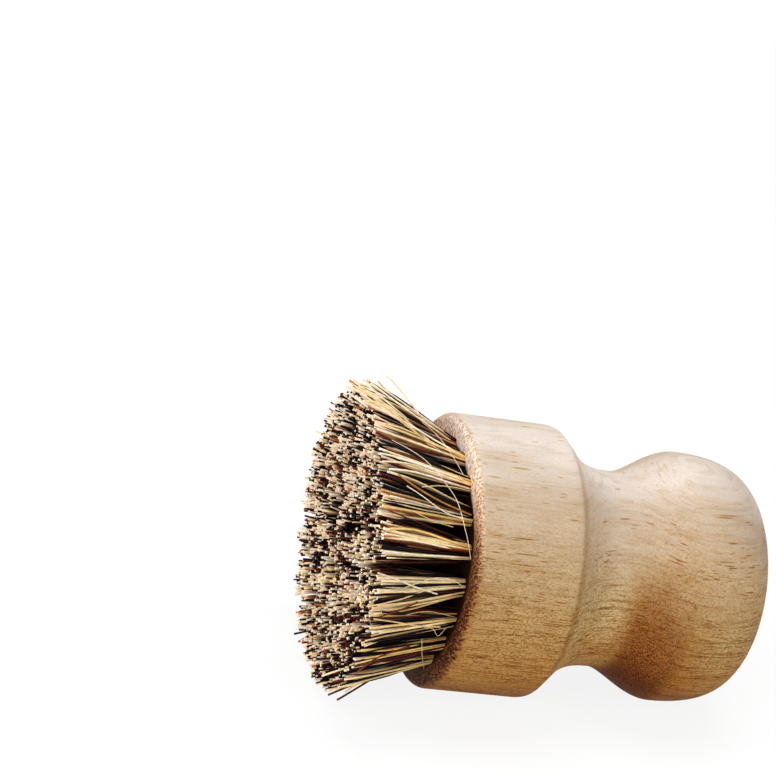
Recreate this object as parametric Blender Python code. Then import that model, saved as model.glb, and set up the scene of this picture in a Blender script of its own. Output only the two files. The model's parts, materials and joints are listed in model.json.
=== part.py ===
"""Palm-held dish brush, lying on its side as it comes to rest on a table.

A wooden handle is turned in one piece, with a drilled head, a drawn-in neck and a round knob. Each
blind hole in the head holds a tuft of stiff plant fibre, folded over a flat wire staple. The brush's
own axis is X, from the drilled face at 0 to the knob at +X, and the tufts point to -X. An empty carries
all of it and tilts it until it rests. World frame: metres, +Z up, origin under the middle of the part.
"""

import math

import bmesh
import bpy
from mathutils import Matrix, Vector

# Turned handle, from the drilled face to the knob's end
HEAD_RADIUS = 0.0250
HEAD_LENGTH = 0.0205
RIM_CHAMFER = 0.0013
SHOULDER_LENGTH = 0.0018
SHOULDER_DROP = 0.0004
NECK_RADIUS = 0.0180
NECK_RUN = 0.0128
KNOB_RADIUS = 0.0231
KNOB_RUN = 0.0126
END_RUN = 0.0155
END_FLAT_RADIUS = 0.0050

# Holes in the head
FACE_MARGIN = 0.0022
HOLE_RADIUS = 0.0020
HOLE_DEPTH = 0.0090
DRILL_OVERRUN = 0.0020

# Tufts, and the staple under each tuft's fold
HOLE_CLEARANCE = 0.0003
FREE_LENGTH = 0.0170
ROOT_RISE = 0.0008
STRAND_INSET = 0.00007
TIP_GAP = 0.0006
STAPLE_HEIGHT = 0.0006
STAPLE_THICKNESS = 0.0004
OUTER_LEAN_ANGLE = math.radians(15)

# Rings of tufts, how many each has, and its radius as a share of the outer ring's
RING_NAMES = ("outer", "middle", "inner", "centre")
RING_TUFTS = (20, 14, 8, 3)
RING_SHARES = (1.0, 0.72, 0.445, 0.175)

# Pulls on the curves between the turned sections, as shares of a section's run, fall or radius
EDGE_RUN_SHARE = 0.26
EDGE_FALL_SHARE = 0.45
NECK_PULL_SHARE = 0.62
KNOB_PULL_SHARE = 0.31
END_PULL_SHARE = 0.90
END_RADIUS_SHARE = 0.75

# Size of a strand's tip beside its root, and how far a core strand leans out beside an outer one
TIP_SIZE_SHARE = 0.75
CORE_SHIFT_SHARE = 0.2

# Facets, and which of a tuft's strands stand in its core and which are dark
HANDLE_SIDES = 40
SHOULDER_STEPS = 3
CURVE_STEPS = 6
END_STEPS = 8
TUFT_STRANDS = 10
CORE_STRANDS = (1, 4, 6, 9)
DARK_STRANDS = (0, 3, 4, 8)
SHARP_ANGLE = math.radians(30)

# Colour and roughness
WOOD = ((0.66, 0.43, 0.25), 0.60)
STRAW_FIBRE = ((0.50, 0.37, 0.20), 0.75)
DARK_FIBRE = ((0.06, 0.03, 0.02), 0.75)


def clear_scene():
    for obj in list(bpy.data.objects):
        bpy.data.objects.remove(obj)


def material(name, look):
    colour, roughness = look
    made = bpy.data.materials.new(name)
    made.use_nodes = True
    shader = made.node_tree.nodes["Principled BSDF"]
    shader.inputs["Base Color"].default_value = (*colour, 1.0)
    shader.inputs["Roughness"].default_value = roughness
    shader.inputs["Metallic"].default_value = 0.0
    made.diffuse_color = (*colour, 1.0)
    return made


def mesh_of(name, shape, materials):
    """The finished mesh of a bmesh, with its faces out and its round sides smooth."""
    bmesh.ops.recalc_face_normals(shape, faces=shape.faces)
    mesh = bpy.data.meshes.new(name)
    shape.to_mesh(mesh)
    shape.free()
    for made in materials:
        mesh.materials.append(made)
    mesh.shade_smooth()
    mesh.set_sharp_from_angle(angle=SHARP_ANGLE)
    return mesh


def add_object(name, mesh, parent, place=None):
    obj = bpy.data.objects.new(name, mesh)
    obj.parent = parent
    if place:
        obj.matrix_local = place
    bpy.context.scene.collection.objects.link(obj)
    return obj


def curve(start, pull_out, pull_in, end, steps):
    """Points (along, radius) on a cubic curve, without its first one."""
    corners = (start, pull_out, pull_in, end)
    points = []
    for step in range(1, steps + 1):
        t = step / steps
        weights = ((1 - t) ** 3, 3 * t * (1 - t) ** 2, 3 * t * t * (1 - t), t**3)
        points.append(tuple(sum(w * c[i] for w, c in zip(weights, corners)) for i in (0, 1)))
    return points


def handle_profile():
    """(along, radius) of the turned outline, from the drilled face's rim to the flat at the knob's end."""
    edge = (HEAD_LENGTH, HEAD_RADIUS - SHOULDER_DROP)
    neck = (edge[0] + NECK_RUN, NECK_RADIUS)
    knob = (neck[0] + KNOB_RUN, KNOB_RADIUS)
    end = (knob[0] + END_RUN, END_FLAT_RADIUS)
    shoulder = HEAD_LENGTH - SHOULDER_LENGTH
    neck_fall = edge[1] - neck[1]

    points = [(0.0, HEAD_RADIUS - RIM_CHAMFER), (RIM_CHAMFER, HEAD_RADIUS), (shoulder, HEAD_RADIUS)]
    for step in range(1, SHOULDER_STEPS + 1):
        turn = math.pi / 2 * step / SHOULDER_STEPS
        drop = SHOULDER_DROP * (1 - math.cos(turn))
        points.append((shoulder + SHOULDER_LENGTH * math.sin(turn), HEAD_RADIUS - drop))
    points += curve(
        edge,
        (edge[0] + EDGE_RUN_SHARE * NECK_RUN, edge[1] - EDGE_FALL_SHARE * neck_fall),
        (neck[0] - NECK_PULL_SHARE * NECK_RUN, neck[1]),
        neck,
        CURVE_STEPS,
    )
    points += curve(
        neck,
        (neck[0] + KNOB_PULL_SHARE * KNOB_RUN, neck[1]),
        (knob[0] - KNOB_PULL_SHARE * KNOB_RUN, knob[1]),
        knob,
        CURVE_STEPS,
    )
    points += curve(
        knob,
        (knob[0] + END_PULL_SHARE * END_RUN, knob[1]),
        (end[0], END_RADIUS_SHARE * knob[1]),
        end,
        END_STEPS,
    )
    return points


def turned_mesh(name, profile, materials):
    """The profile spun about X, with flat ends. A facet, and not an edge, faces straight down."""
    shape = bmesh.new()
    half_turn = math.pi / HANDLE_SIDES
    line = [
        shape.verts.new((along, -radius * math.sin(half_turn), -radius * math.cos(half_turn)))
        for along, radius in profile
    ]
    edges = [shape.edges.new(pair) for pair in zip(line, line[1:])]
    bmesh.ops.spin(
        shape,
        geom=line + edges,
        cent=(0, 0, 0),
        axis=(1, 0, 0),
        dvec=(0, 0, 0),
        angle=2 * math.pi,
        steps=HANDLE_SIDES,
        use_merge=True,
    )
    bmesh.ops.holes_fill(shape, edges=[e for e in shape.edges if e.is_boundary], sides=0)
    return mesh_of(name, shape, materials)


def outer_ring_radius():
    return HEAD_RADIUS - RIM_CHAMFER - FACE_MARGIN - HOLE_RADIUS


def tuft_lean(ring):
    """Tufts fan out from the middle, so each ring leans as its radius grows."""
    return OUTER_LEAN_ANGLE * RING_SHARES[ring]


def tuft_places(ring):
    """Where a ring's tufts cross the drilled face. A tuft's own +Z follows its fibres, and its +X points inward."""
    count = RING_TUFTS[ring]
    out = Matrix.Translation((0, 0, -outer_ring_radius() * RING_SHARES[ring]))
    lean = Matrix.Rotation(-math.pi / 2 - tuft_lean(ring), 4, "Y")
    turns = [2 * math.pi * (k + 0.5) / count for k in range(count)]
    return [Matrix.Rotation(turn, 4, "X") @ out @ lean for turn in turns]


def tuft_polygon(shape, radius, height, place):
    """Corners shared by hole and tuft, so that their facets lie parallel. A facet faces +X and another -X."""
    turns = [2 * math.pi * (k + 0.5) / TUFT_STRANDS for k in range(TUFT_STRANDS)]
    points = [Vector((radius * math.cos(turn), radius * math.sin(turn), height)) for turn in turns]
    return [shape.verts.new(place @ point) for point in points]


def join_polygons(shape, low, high):
    for k in range(len(low)):
        shape.faces.new((low[k - 1], low[k], high[k], high[k - 1]))


def drill_mesh(name):
    """All the holes in one cutter, each from its blind end to just past the face."""
    shape = bmesh.new()
    for ring in range(len(RING_NAMES)):
        for place in tuft_places(ring):
            blind_end = tuft_polygon(shape, HOLE_RADIUS, -HOLE_DEPTH, place)
            mouth = tuft_polygon(shape, HOLE_RADIUS, DRILL_OVERRUN, place)
            join_polygons(shape, blind_end, mouth)
            shape.faces.new(blind_end[::-1])
            shape.faces.new(mouth)
    return mesh_of(name, shape, [])


def make_handle(parent, wood):
    handle = add_object("handle", turned_mesh("handle", handle_profile(), [wood]), parent)
    drill = add_object("hole_drill", drill_mesh("hole_drill"), parent)
    drill.hide_render = True
    drill.display_type = "WIRE"
    cut = handle.modifiers.new("drilled_holes", "BOOLEAN")
    cut.operation = "DIFFERENCE"
    cut.object = drill
    return handle


def tip_radius():
    """How wide a tuft may flare at the trim, where it stays clear of those beside it and in the next ring."""
    radii = [
        outer_ring_radius() * share + FREE_LENGTH * math.tan(tuft_lean(ring))
        for ring, share in enumerate(RING_SHARES)
    ]
    steps = [wide - narrow for wide, narrow in zip(radii, radii[1:])]
    chords = [2 * radius * math.sin(math.pi / count) for radius, count in zip(radii, RING_TUFTS)]
    return (min(steps + chords) - TIP_GAP) / 2


def add_staple(shape, fold):
    """Closes the folded end, with a flat wire bar standing out of a strip across its middle."""
    half = len(fold) // 2
    shape.faces.new(fold[:half][::-1])
    shape.faces.new(fold[half:][::-1])
    strip = shape.faces.new((fold[0], fold[half - 1], fold[half], fold[-1])[::-1])
    bar = bmesh.ops.extrude_discrete_faces(shape, faces=[strip])["faces"][0]
    for corner in bar.verts:
        corner.co.y = math.copysign(STAPLE_THICKNESS / 2, corner.co.y)
        corner.co.z -= STAPLE_HEIGHT


def add_strands(shape, root, radius, lean):
    """Draws a three-sided strand out of each sector of the root, as far as the flat trim of the whole brush.

    Every strand keeps to its own sector, which widens with its distance from the tuft's axis, so none cross.
    """
    full_shift = tip_radius() - TIP_SIZE_SHARE * radius
    centre = shape.verts.new((0, 0, ROOT_RISE))
    sectors = [shape.faces.new((centre, root[k - 1], root[k])) for k in range(TUFT_STRANDS)]
    shape.normal_update()
    bmesh.ops.inset_individual(shape, faces=sectors, thickness=STRAND_INSET, use_even_offset=True)
    for k, sector in enumerate(sectors):
        turn = 2 * math.pi * k / TUFT_STRANDS
        shift = full_shift * (CORE_SHIFT_SHARE if k in CORE_STRANDS else 1)
        tip = bmesh.ops.extrude_discrete_faces(shape, faces=[sector])["faces"][0]
        for corner in tip.verts:
            x = TIP_SIZE_SHARE * corner.co.x + shift * math.cos(turn)
            y = TIP_SIZE_SHARE * corner.co.y + shift * math.sin(turn)
            corner.co = (x, y, (FREE_LENGTH - x * math.sin(lean)) / math.cos(lean))
        if k in DARK_STRANDS:
            for face in {tip, *(side for edge in tip.edges for side in edge.link_faces)}:
                face.material_index = 1


def tuft_mesh(name, ring, materials):
    """A tuft of one ring: the packed fibres in the hole, their staple, and the free strands."""
    shape = bmesh.new()
    radius = HOLE_RADIUS - HOLE_CLEARANCE
    upright = Matrix.Identity(4)
    fold = tuft_polygon(shape, radius, STAPLE_HEIGHT + HOLE_CLEARANCE - HOLE_DEPTH, upright)
    root = tuft_polygon(shape, radius, ROOT_RISE, upright)
    join_polygons(shape, fold, root)
    add_staple(shape, fold)
    add_strands(shape, root, radius, tuft_lean(ring))
    return mesh_of(name, shape, materials)


def make_tufts(parent, fibres):
    tufts = []
    for ring, name in enumerate(RING_NAMES):
        mesh = tuft_mesh(f"{name}_tuft", ring, fibres)
        for k, place in enumerate(tuft_places(ring), start=1):
            tufts.append(add_object(f"{name}_tuft_{k:02d}", mesh, parent, place))
    return tufts


def balance_point(profile):
    """Where along the axis the turned wood balances."""
    slices = [
        ((b[0] - a[0]) * (a[1] + b[1]) ** 2, (a[0] + b[0]) / 2) for a, b in zip(profile, profile[1:])
    ]
    return sum(weight * along for weight, along in slices) / sum(weight for weight, _ in slices)


def resting_pitch(points, balance):
    """The slope under the points of the level surface that touches them on both sides of the balance point."""
    hull = []
    for x, z in sorted(points):
        while len(hull) > 1 and (hull[-1][0] - hull[-2][0]) * (z - hull[-2][1]) <= (
            hull[-1][1] - hull[-2][1]
        ) * (x - hull[-2][0]):
            hull.pop()
        hull.append((x, z))
    for low, high in zip(hull, hull[1:]):
        if low[0] <= balance < high[0]:
            return math.atan2(high[1] - low[1], high[0] - low[0])
    return 0.0


def lay_down(carrier, solids):
    """Pitches the carrier until the brush rests, and puts the origin under the middle of its bounds."""
    bpy.context.view_layer.update()
    own = [solid.matrix_world @ vertex.co for solid in solids for vertex in solid.data.vertices]
    pitch = resting_pitch([(point.x, point.z) for point in own], balance_point(handle_profile()))
    carrier.rotation_euler.y = pitch
    turned = [Matrix.Rotation(pitch, 4, "Y") @ point for point in own]
    low = [min(point[i] for point in turned) for i in range(3)]
    high = [max(point[i] for point in turned) for i in range(3)]
    carrier.location = (-(low[0] + high[0]) / 2, -(low[1] + high[1]) / 2, -low[2])


def main():
    clear_scene()
    carrier = add_object("brush", None, None)
    wood = material("handle_wood", WOOD)
    fibres = [material("straw_fibre", STRAW_FIBRE), material("dark_fibre", DARK_FIBRE)]
    handle = make_handle(carrier, wood)
    lay_down(carrier, [handle, *make_tufts(carrier, fibres)])


main()
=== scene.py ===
"""Looks of the palm-held dish brush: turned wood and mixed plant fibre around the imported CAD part.

Every piece is built in the brush's own frame, in metres: X runs from the drilled face at 0 to the knob,
Z is up across the brush, and the tufts point to -X. One matrix then lays it down as the CAD part lies.
"""

import json
import math

import bpy
import numpy as np
from mathutils import Matrix, Vector

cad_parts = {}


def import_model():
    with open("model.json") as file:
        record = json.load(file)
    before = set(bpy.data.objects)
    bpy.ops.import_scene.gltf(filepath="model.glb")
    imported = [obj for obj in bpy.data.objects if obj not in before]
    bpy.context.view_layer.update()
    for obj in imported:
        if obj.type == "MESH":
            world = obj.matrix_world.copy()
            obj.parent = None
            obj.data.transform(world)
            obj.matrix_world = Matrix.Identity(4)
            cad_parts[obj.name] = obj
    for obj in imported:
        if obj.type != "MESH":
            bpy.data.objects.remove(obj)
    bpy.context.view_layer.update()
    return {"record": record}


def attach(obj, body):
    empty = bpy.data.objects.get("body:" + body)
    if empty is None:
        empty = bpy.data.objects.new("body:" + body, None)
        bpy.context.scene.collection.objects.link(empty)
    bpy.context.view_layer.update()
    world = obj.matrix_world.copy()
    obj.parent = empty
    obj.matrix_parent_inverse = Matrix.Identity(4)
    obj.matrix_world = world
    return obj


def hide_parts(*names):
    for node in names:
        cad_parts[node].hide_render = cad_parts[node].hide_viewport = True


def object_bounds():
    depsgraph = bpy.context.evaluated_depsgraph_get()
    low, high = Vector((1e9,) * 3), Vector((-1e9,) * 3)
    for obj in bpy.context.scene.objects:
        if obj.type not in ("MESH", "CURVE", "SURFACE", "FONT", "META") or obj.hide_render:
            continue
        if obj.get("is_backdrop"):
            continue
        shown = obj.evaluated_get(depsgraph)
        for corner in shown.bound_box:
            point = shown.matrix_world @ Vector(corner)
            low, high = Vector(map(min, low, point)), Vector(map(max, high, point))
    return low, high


MM = 0.001
SEED = 20

# Turned handle, as the CAD part has it
HEAD_RADIUS = 25.0 * MM
HEAD_LENGTH = 20.5 * MM
RIM_CHAMFER = 1.3 * MM
# The drilled face is worn, and sits this much further in than the CAD part's
FACE_WEAR = 0.8 * MM
SHOULDER_LENGTH = 1.8 * MM
SHOULDER_DROP = 0.4 * MM
NECK_RADIUS = 18.0 * MM
NECK_RUN = 12.8 * MM
KNOB_RADIUS = 23.1 * MM
KNOB_RUN = 12.6 * MM
END_RUN = 15.5 * MM
END_FLAT_RADIUS = 5.0 * MM
EDGE_RUN_SHARE, EDGE_FALL_SHARE = 0.26, 0.45
NECK_PULL_SHARE, KNOB_PULL_SHARE = 0.62, 0.31
END_PULL_SHARE, END_RADIUS_SHARE = 0.90, 0.75
HANDLE_SIDES = 256
CURVE_STEPS = 26
SIDE_STEPS, SHOULDER_STEPS, RIM_STEPS = 24, 8, 8
# The rim's round, in shares of its chamfer, and the row of the flat inside it
RIM_PULL_OUT, RIM_PULL_IN = (0.1, 0.55), 0.5
FLAT_ROW = 0.35 * MM
HANDLE_SHARP_EDGE = math.radians(35)

# Drilled holes and tufts, as the CAD part has them
FACE_MARGIN = 2.2 * MM
HOLE_RADIUS = 2.0 * MM
HOLE_DEPTH = 9.0 * MM
HOLE_SIDES = 24
DRILL_STANDS_OUT = 2.0 * MM
FREE_LENGTH = 17.0 * MM
OUTER_LEAN = math.radians(15)
RINGS = {"outer": (20, 1.0), "middle": (14, 0.72), "inner": (8, 0.445), "centre": (3, 0.175)}
RING_RADIUS = HEAD_RADIUS - RIM_CHAMFER - FACE_MARGIN - HOLE_RADIUS

# Camera, in the brush's frame: how far it looks round from square on, how high, its roll, and where it
# sees the centre of the drilled face (right, down, ahead)
VIEW_YAW = math.radians(18)
VIEW_RISE = math.radians(23)
VIEW_ROLL = math.radians(7.57)
FACE_SEEN_AT = Vector((6.94, 28.98, 505.0)) * MM
FOCAL_PIXELS = 2800.0
IMAGE_PIXELS = 776
SENSOR = 36.0
SEES_FROM, SEES_TO = 0.01, 50.0


def linear(red, green, blue):
    """A colour written as 0 to 255 screen values, in the renderer's linear values."""
    shares = [value / 255 for value in (red, green, blue)]
    return tuple(s / 12.92 if s <= 0.04045 else ((s + 0.055) / 1.055) ** 2.4 for s in shares)


# ---------------------------------------------------------------- materials


class Graph:
    """Short ways to add and join the nodes of a material or the world."""

    def __init__(self, owner):
        owner.use_nodes = True
        self.owner, self.tree = owner, owner.node_tree

    def brush_place(self, brush):
        """Where a point is in the brush's own frame, in millimetres."""
        place = self.node("ShaderNodeTexCoord").outputs["Object"]
        inputs = {"Vector": place, "Location": brush.to_translation(), "Rotation": brush.to_euler()}
        inputs["Scale"] = (MM, MM, MM)
        return self.node("ShaderNodeMapping", inputs, vector_type="TEXTURE").outputs[0]

    def put(self, socket, value):
        if isinstance(value, bpy.types.NodeSocket):
            self.tree.links.new(value, socket)
        elif value is not None:
            if hasattr(socket.default_value, "__len__") and len(socket.default_value) == 4:
                value = (*value, 1.0) if len(value) == 3 else value
            socket.default_value = value

    def node(self, kind, inputs=(), **settings):
        made = self.tree.nodes.new(kind)
        for name, value in settings.items():
            setattr(made, name, value)
        for key, value in dict(inputs).items():
            self.put(made.inputs[key], value)
        return made

    def math(self, operation, a, b=None):
        return self.node("ShaderNodeMath", {0: a, 1: b}, operation=operation).outputs[0]

    def mix(self, share, a, b, blend="MIX"):
        inputs = {0: share, 6: a, 7: b}
        return self.node("ShaderNodeMix", inputs, data_type="RGBA", blend_type=blend).outputs[2]

    def span(self, value, low, high, to_low=0.0, to_high=1.0):
        """Value carried from one range to another, smoothly and clamped."""
        inputs = dict(enumerate((value, low, high, to_low, to_high)))
        return self.node("ShaderNodeMapRange", inputs, interpolation_type="SMOOTHSTEP").outputs[0]

    def ramp(self, value, stops):
        """A colour that changes smoothly through stops of (value, screen colour)."""
        low, high = stops[0][0], stops[-1][0]
        share = self.node("ShaderNodeMapRange", {0: value, 1: low, 2: high}).outputs[0]
        made = self.node("ShaderNodeValToRGB", {0: share})
        points = made.color_ramp.elements
        while len(points) < len(stops):
            points.new(1.0)
        for point, (at, colour) in zip(points, stops):
            point.position = (at - low) / (high - low)
            point.color = (*linear(*colour), 1.0)
        return made.outputs[0]

    def stretched(self, vector, scale):
        return self.node("ShaderNodeVectorMath", {0: vector, 1: scale}, operation="MULTIPLY").outputs[0]

    def noise(self, mm, cells, detail=2.0, roughness=0.5):
        """Cloudy noise from 0 to 1, with so many cells to a millimetre (along, side, up)."""
        inputs = {"Vector": self.stretched(mm, cells), "Scale": 1.0, "Detail": detail, "Roughness": roughness}
        return self.node("ShaderNodeTexNoise", inputs).outputs["Fac"]

    def noises(self, mm, kinds):
        return {name: self.noise(mm, *kind) for name, kind in kinds.items()}

    def swing(self, noise, size):
        """A noise as a value to either side of 0."""
        return self.math("MULTIPLY", self.math("SUBTRACT", noise, 0.5), size)

    def off_middle(self, noise):
        """How far a noise is from its middle, which is near 0 on thin lines."""
        return self.math("ABSOLUTE", self.math("SUBTRACT", noise, 0.5))

    def scatter(self, mm, cells):
        """(distance to the nearest scattered point, a random value of that point)"""
        made = self.node("ShaderNodeTexVoronoi", {"Vector": self.stretched(mm, cells), "Scale": 1.0})
        value = self.node("ShaderNodeSeparateColor", {"Color": made.outputs["Color"]})
        return made.outputs["Distance"], value.outputs[0]

    def share(self, fields, terms):
        """The product of terms: a field's name, with the range that its share rises over if it has one."""
        product = None
        for name, *limits in terms:
            value = self.span(fields[name], *limits) if limits else fields[name]
            product = value if product is None else self.math("MULTIPLY", product, value)
        return product

    def tinted(self, colour, fields, tints):
        """The colour multiplied by one tint after another, each as far as its terms say."""
        for tint, *terms in tints:
            colour = self.mix(self.share(fields, terms), colour, tint, "MULTIPLY")
        return colour

    def surface(self, colour, roughness, shine, normal=None):
        looks = {"Base Color": colour, "Roughness": roughness, "Specular IOR Level": shine, "Normal": normal}
        for name, value in looks.items():
            self.put(self.tree.nodes["Principled BSDF"].inputs[name], value)


# Height on the turned surface: 25 is its top line and -25 its bottom line, whatever the radius.
# The upper side is painted paler and the lower side darker and warmer: painted light above and painted shade
# below, over the wood's own colour.
TOP_HEIGHT = 25.0
LEAST_RADIUS = 14.0
HEIGHT_DRIFT = 8.0
WOOD_AND_SHADE_BY_HEIGHT = (
    (-25.0, (150, 96, 46)),
    (-12.0, (172, 126, 68)),
    (0.0, (176, 143, 92)),
    (12.0, (178, 153, 118)),
    (21.0, (186, 167, 146)),
    (25.0, (216, 204, 194)),
)
# The rim by height: partly its own end grain and burn marks, partly painted shade below and painted light
# above
RIM_AND_SHADE_BY_HEIGHT = (
    (-25.0, (62, 22, 10)),
    (-4.0, (78, 34, 16)),
    (6.0, (92, 47, 23)),
    (12.0, (114, 74, 42)),
    (17.0, (194, 156, 122)),
    (21.0, (255, 230, 206)),
    (25.0, (255, 248, 238)),
)
# Noises of the wood: cells to a millimetre (along, side, up), detail, roughness
WOOD_NOISES = {
    "drift": ((0.03, 0.10, 0.10), 2.0),
    "bands": ((0.05, 0.22, 0.6), 2.0, 0.6),
    "streaks": ((0.20, 0.8, 1.8), 3.0, 0.6),
    "clouds": ((0.3, 0.9, 1.3), 2.0),
    "lines": ((0.09, 0.16, 2.8), 2.0, 0.6),
    "speckle": ((2.2, 3.4, 3.4), 3.0, 0.75),
    "layers": ((0.035, 0.06, 0.66), 3.0, 0.65),
    "patches": ((0.10, 0.10, 0.22), 1.0),
    "specks": ((1.8, 2.1, 2.1), 2.0, 0.7),
    "hatch": ((4.2, 1.1, 1.1), 1.0),
    "rust": ((3.5, 3.9, 3.9), 1.0),
    "crowds": ((0.06, 0.14, 0.20), 2.0),
    "ragged": ((0.7, 1.5, 1.5), 4.0, 0.75),
    "grit": ((0.8, 2.9, 2.9), 3.0, 0.75),
    "arcs": ((1.0, 0.8, 1.7), 2.0),
    "blots": ((1.1, 1.5, 1.1), 3.0, 0.6),
    "fuzz": ((0.9, 4.5, 4.5), 2.0),
}

# A term is a field, the values that its share rises from and to, and the shares there if not 0 and 1.
# The field "along" is in millimetres from the drilled face.
CALM = ("height", 23.5, -6, 0.15, 1.0)
ACROSS_GRAIN = ("off_axis", 0.10, 0.45)
WORN_END = ("along", 46, 54, 1.0, 0.4)
NECK = (("along", 20.6, 22.6), ("along", 36, 30), ("height", 24.5, 16, 0.2, 1.0))
# Tints of the turned side, one after another
SIDE_TINTS = (
    # The knob is warmer and darker towards the neck, the more so the lower, and paler at its end. The
    # darkness towards the neck is painted shade where the head shades it, and so is the darker upper part of
    # its end
    ((0.70, 0.50, 0.30), ("along", 33, 40), ("height", 23, -16, 0.0, 0.75), ("along", 53, 44, 0.15, 1.0)),
    ((0.84, 0.69, 0.53), ("along", 31.5, 35), ("along", 43, 38), ("height", 17, 3), ("height", -14, -4)),
    ((1.05, 1.14, 1.30), ("along", 46, 52), ("height", 8, -2), ("height", -20, -12)),
    # Painted shade on the upper part of the knob's end
    ((0.82, 0.80, 0.78), ("along", 46, 56), ("height", 12, 23)),
    # Soft bands and broad golden streaks of the growth layers
    ((0.86, 0.72, 0.50), ("bands", 0.48, 0.74, 0.0, 0.45)),
    ((0.82, 0.66, 0.44), ("streaks", 0.50, 0.70), ("height", 24, 10, 0.15, 0.75)),
    ((1.12, 1.12, 1.12), ("clouds", 0.50, 0.74), CALM),
    ((0.60, 0.44, 0.27), ("lines", 0.55, 0.64), ("height", 20, -8, 0.2, 0.85)),
    # A fine speckle, dark and light
    ((0.54, 0.39, 0.23), ("speckle", 0.49, 0.64), CALM),
    ((1.24, 1.28, 1.34), ("speckle", 0.50, 0.36), CALM),
    # Thin dark lines where the growth layers, nearly level, come out of the turned side
    ((0.48, 0.29, 0.15), ("layer_lines", 0.021, 0.006), ("patches", 0.49, 0.58), ("height", 17, -6)),
    # Coarser dots and hatch where the turning cuts across the grain
    ((0.60, 0.46, 0.30), ("specks", 0.51, 0.60, 0.0, 0.85), ACROSS_GRAIN, CALM, WORN_END),
    ((0.66, 0.54, 0.40), ("hatch", 0.52, 0.62, 0.0, 0.4), ACROSS_GRAIN, CALM, WORN_END),
    # Painted light: the neck is painted paler, the more so the lower, where the head keeps the lamps off it;
    # it is darker at its edge
    ((1.10, 1.14, 1.22), *NECK),
    ((1.14, 1.28, 1.46), *NECK, ("height", 12, -4)),
    ((0.92, 0.84, 0.70), ("along", 20.3, 20.9), ("along", 22.8, 21.2)),
)

# Painted shade: the underside of the knob, facing the neck, is painted dark red-brown where the head and neck
# shade it, with light and dark grains of the wood in it
KNOB_SHADE_EDGE_SWING = 26.0
KNOB_SHADE = (("knob_shade_edge", 11.0, -14.0), ("facing", -0.10, -0.50, 0.0, 0.92))
KNOB_SHADE_LOWER = (-6.0, -19.0)
KNOB_SHADE_COLOURS = linear(124, 70, 27), linear(84, 37, 10)
KNOB_SHADE_GRAINS = (((1.80, 2.05, 2.5), ("rust", 0.49, 0.42)), ((0.33, 0.21, 0.13), ("rust", 0.50, 0.57)))

# Pores are long thin hollows along the grain, in drifts: their cells to a millimetre (along, side, up),
# their width in cells, how many are left out, darkness
PORES = (
    ((0.10, 0.16, 2.20), 0.34, 0.60, 0.80),
    ((0.22, 0.40, 2.60), 0.40, 0.52, 0.90),
    ((0.36, 1.00, 3.20), 0.40, 0.50, 0.75),
    ((0.60, 3.60, 3.60), 0.40, 0.50, 0.40),
)
PORE_CROWDS, PORE_SIZE_SPAN, PORE_FLOOR = ("crowds", 0.41, 0.57, 0.30, 1.0), 0.3, 0.8
PORE_FADE, LEAST_PORE = ("height", 25, 14, 0.45, 1.0), 0.001
# A pore is dark and has a soft golden border
PORE_TINTS = (((0.86, 0.72, 0.50), ("pores", 0.0, 0.35)), ((0.48, 0.30, 0.15), ("pores", 0.2, 0.9)))

# End grain by its ragged distance from the drilled face: a golden border, and the dark rim within it
RAGGED_SWING = 3.0
STEEPER_ABOVE = (10.0, 20.0, 1.0, 2.2)
BORDER, BORDER_LOWER = ("edge", 2.2, 0.9, 0.0, 0.85), (4.0, 22.0)
BORDER_COLOURS = linear(158, 110, 58), linear(218, 194, 164)
BORDER_TINTS = (((0.36, 0.23, 0.13), ("grit", 0.50, 0.57)), ((1.40, 1.40, 1.50), ("grit", 0.46, 0.40), CALM))
RIM = ("edge", 1.1, 0.2)
RIM_TINTS = (
    ((0.34, 0.22, 0.14), ("grit", 0.49, 0.56), ("height", 24, 18, 0.60, 1.0)),
    ((0.66, 0.38, 0.26), ("arc_lines", 0.026, 0.010), ("height", 24, 15, 0.4, 1.0)),
)
RIM_GRAINS, RIM_GRAIN_COLOUR, RIM_GRAIN_SHARE = ("grit", 0.46, 0.40, 0.0, 0.8), linear(226, 170, 116), 0.35
RIM_BLOTS = (((0.70, 0.50, 0.38), ("blots", 0.51, 0.60), ("height", 12, 20)),)
RIM_RELIEF = ("height", 24, 12, 0.3, 1.2)

# Painted shade between the tufts on the drilled face: the radius where it starts and is full, its depth, and
# its reach by height
GAP_SHADE_START, GAP_SHADE_FULL, GAP_SHADE_DEPTH = 21.9, 20.9, (0.5, 0.2)
GAP_SHADE_REACH, GAP_SHADE_DRAWN_IN = (24.0, 14.0, -0.9, 0.9), (2.0, -14.0, 0.0, 0.9)
GAP_SHADE_COLOUR = linear(26, 12, 7)

WOOD_ROUGHNESS, WOOD_SHINE = ("streaks", 0.3, 0.7, 0.58, 0.70), 0.05
# Relief of the fuzz and the pores, and how strong and high the bump is
FUZZ_RELIEF, PORE_RELIEF = 0.3, 0.6
BUMP_STRENGTH, BUMP_HEIGHT = 0.5, 0.08 * MM


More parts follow.
